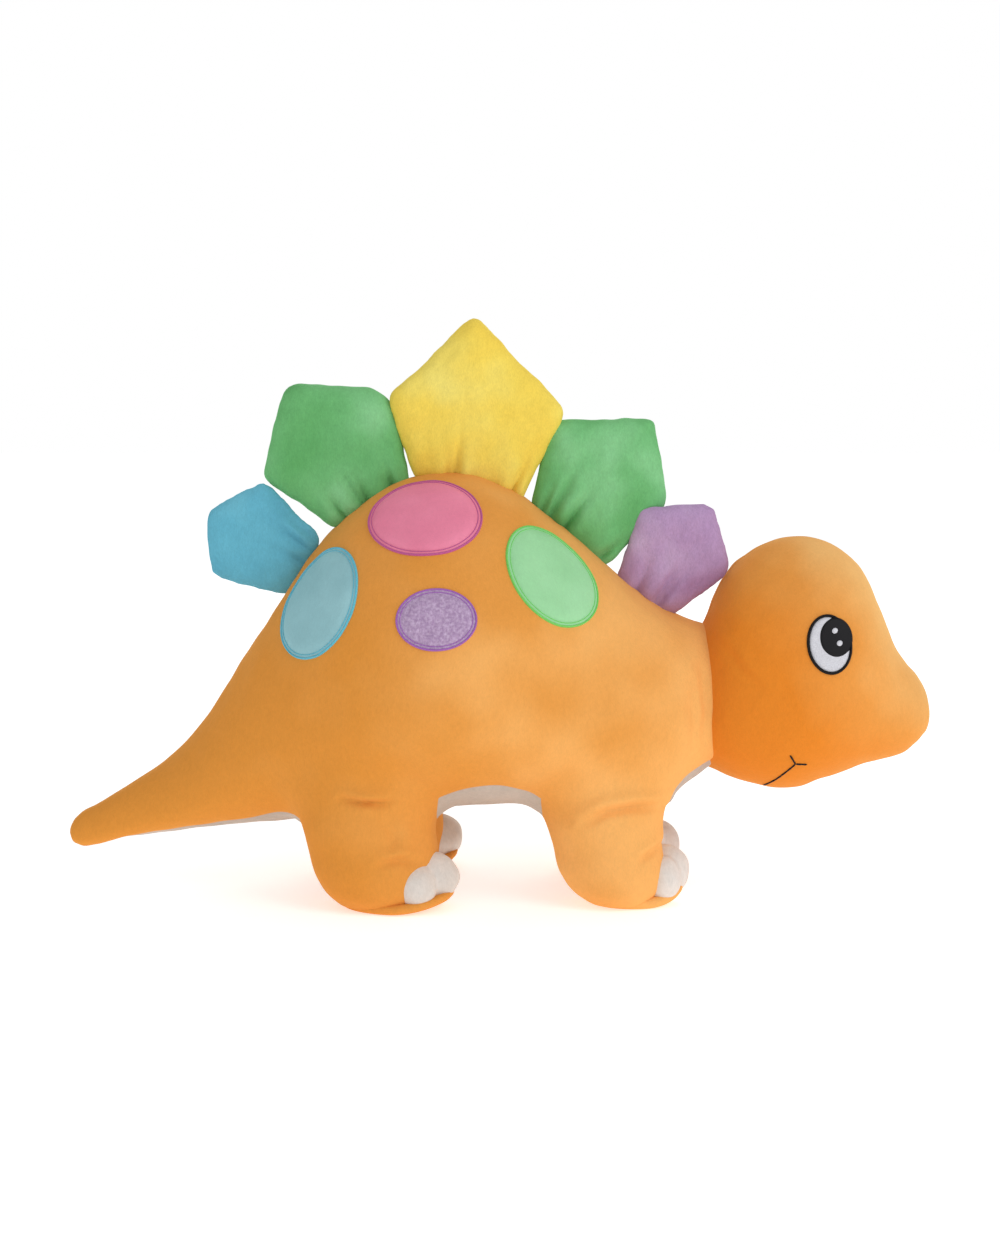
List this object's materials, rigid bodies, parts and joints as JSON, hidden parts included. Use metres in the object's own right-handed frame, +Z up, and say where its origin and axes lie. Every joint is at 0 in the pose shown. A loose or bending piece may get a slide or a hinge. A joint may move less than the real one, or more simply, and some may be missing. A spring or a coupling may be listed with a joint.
{
  "type": "stuffed dinosaur",
  "caption": "Plush stegosaurus with padded plates along its back, round spots on its flanks, embroidered eyes and mouth, and four short feet; the neck, tail, legs and plates give when pushed.",
  "frame": {"origin": "on the floor under the middle of the toy's box", "axes": "+Z up, +X from tail to head, +Y to the toy's left"},
  "size_m": [0.501, 0.1844, 0.3299],
  "materials": {
    "orange_plush": "short-pile minky plush",
    "cream_plush": "short-pile minky plush",
    "blue_plush": "short-pile minky plush",
    "green_plush": "short-pile minky plush",
    "yellow_plush": "short-pile minky plush",
    "purple_plush": "short-pile minky plush",
    "pink_plush": "short-pile minky plush patch",
    "light_blue_plush": "short-pile minky plush patch",
    "light_green_plush": "short-pile minky plush patch",
    "lilac_plush": "short-pile minky plush patch",
    "magenta_thread": "satin stitching",
    "cyan_thread": "satin stitching",
    "bright_green_thread": "satin stitching",
    "violet_thread": "satin stitching",
    "white_thread": "embroidery thread",
    "black_thread": "embroidery thread",
    "stuffing": "loose polyester fibre"
  },
  "bodies": {
    "torso": {"side_panel_right": "orange_plush", "side_panel_left": "orange_plush", "belly_panel": "cream_plush", "torso_stuffing": "stuffing", "spot_pink": "pink_plush", "spot_pink_border": "magenta_thread", "spot_light_blue": "light_blue_plush", "spot_light_blue_border": "cyan_thread", "spot_green": "light_green_plush", "spot_green_border": "bright_green_thread", "spot_lilac": "lilac_plush", "spot_lilac_border": "violet_thread"},
    "neck": {"neck_stuffing": "stuffing"},
    "head": {"head_panel_right": "orange_plush", "head_panel_left": "orange_plush", "head_stuffing": "stuffing", "eye_white_right": "white_thread", "eye_black_right": "black_thread", "eye_glints_right": "white_thread", "mouth_right": "black_thread", "eye_white_left": "white_thread", "eye_black_left": "black_thread", "eye_glints_left": "white_thread", "mouth_left": "black_thread"},
    "tail": {"tail_panel_right": "orange_plush", "tail_panel_left": "orange_plush", "tail_underside": "cream_plush", "tail_stuffing": "stuffing"},
    "rear_leg_left": {"rear_leg_left_cover": "orange_plush", "rear_leg_left_stuffing": "stuffing", "rear_leg_left_toes": "cream_plush", "rear_leg_left_sole": "orange_plush"},
    "rear_leg_right": {"rear_leg_right_cover": "orange_plush", "rear_leg_right_stuffing": "stuffing", "rear_leg_right_toes": "cream_plush", "rear_leg_right_sole": "orange_plush"},
    "front_leg_left": {"front_leg_left_cover": "orange_plush", "front_leg_left_stuffing": "stuffing", "front_leg_left_toes": "cream_plush", "front_leg_left_sole": "orange_plush"},
    "front_leg_right": {"front_leg_right_cover": "orange_plush", "front_leg_right_stuffing": "stuffing", "front_leg_right_toes": "cream_plush", "front_leg_right_sole": "orange_plush"},
    "plate_blue": {"plate_blue_cover": "blue_plush", "plate_blue_stuffing": "stuffing"},
    "plate_green_rear": {"plate_green_rear_cover": "green_plush", "plate_green_rear_stuffing": "stuffing"},
    "plate_yellow": {"plate_yellow_cover": "yellow_plush", "plate_yellow_stuffing": "stuffing"},
    "plate_green_front": {"plate_green_front_cover": "green_plush", "plate_green_front_stuffing": "stuffing"},
    "plate_purple": {"plate_purple_cover": "purple_plush", "plate_purple_stuffing": "stuffing"}
  },
  "joints": [
    {"name": "neck_turn", "type": "hinge", "parent": "torso", "child": "neck", "pos_m": [0.08, 0, 0.112], "axis": [0, 0, 1], "range_deg": [-12, 12], "stiffness_Nm_per_rad": 3},
    {"name": "head_nod", "type": "hinge", "parent": "neck", "child": "head", "pos_m": [0.08, 0, 0.112], "axis": [0, 1, 0], "range_deg": [-2, 12], "stiffness_Nm_per_rad": 4, "springref_deg": -1.15},
    {"name": "tail_swing", "type": "hinge", "parent": "torso", "child": "tail", "pos_m": [-0.112, 0, 0.075], "axis": [0, 0, 1], "range_deg": [-20, 20], "stiffness_Nm_per_rad": 1},
    {"name": "rear_leg_left_swing", "type": "hinge", "parent": "torso", "child": "rear_leg_left", "pos_m": [-0.07, 0.042, 0.08], "axis": [0, 1, 0], "range_deg": [-12, 12], "stiffness_Nm_per_rad": 3},
    {"name": "rear_leg_right_swing", "type": "hinge", "parent": "torso", "child": "rear_leg_right", "pos_m": [-0.07, -0.042, 0.08], "axis": [0, 1, 0], "range_deg": [-12, 12], "stiffness_Nm_per_rad": 3},
    {"name": "front_leg_left_swing", "type": "hinge", "parent": "torso", "child": "front_leg_left", "pos_m": [0.061, 0.037, 0.076], "axis": [0, 1, 0], "range_deg": [-12, 12], "stiffness_Nm_per_rad": 3},
    {"name": "front_leg_right_swing", "type": "hinge", "parent": "torso", "child": "front_leg_right", "pos_m": [0.061, -0.037, 0.076], "axis": [0, 1, 0], "range_deg": [-12, 12], "stiffness_Nm_per_rad": 3},
    {"name": "plate_blue_tilt", "type": "hinge", "parent": "torso", "child": "plate_blue", "pos_m": [-0.11275, 0, 0.19175], "axis": [0.4161, 0, 0.9093], "range_deg": [-18, 18], "stiffness_Nm_per_rad": 0.2},
    {"name": "plate_green_rear_tilt", "type": "hinge", "parent": "torso", "child": "plate_green_rear", "pos_m": [-0.074, 0, 0.22825], "axis": [0.8374, 0, 0.5466], "range_deg": [-18, 18], "stiffness_Nm_per_rad": 0.2},
    {"name": "plate_yellow_tilt", "type": "hinge", "parent": "torso", "child": "plate_yellow", "pos_m": [-0.019, 0, 0.24175], "axis": [0.9928, 0, -0.1195], "range_deg": [-18, 18], "stiffness_Nm_per_rad": 0.2},
    {"name": "plate_green_front_tilt", "type": "hinge", "parent": "torso", "child": "plate_green_front", "pos_m": [0.041, 0, 0.21025], "axis": [0.7761, 0, -0.6306], "range_deg": [-18, 18], "stiffness_Nm_per_rad": 0.2},
    {"name": "plate_purple_tilt", "type": "hinge", "parent": "torso", "child": "plate_purple", "pos_m": [0.08675, 0, 0.17575], "axis": [0.8345, 0, -0.5511], "range_deg": [-18, 18], "stiffness_Nm_per_rad": 0.2}
  ]
}
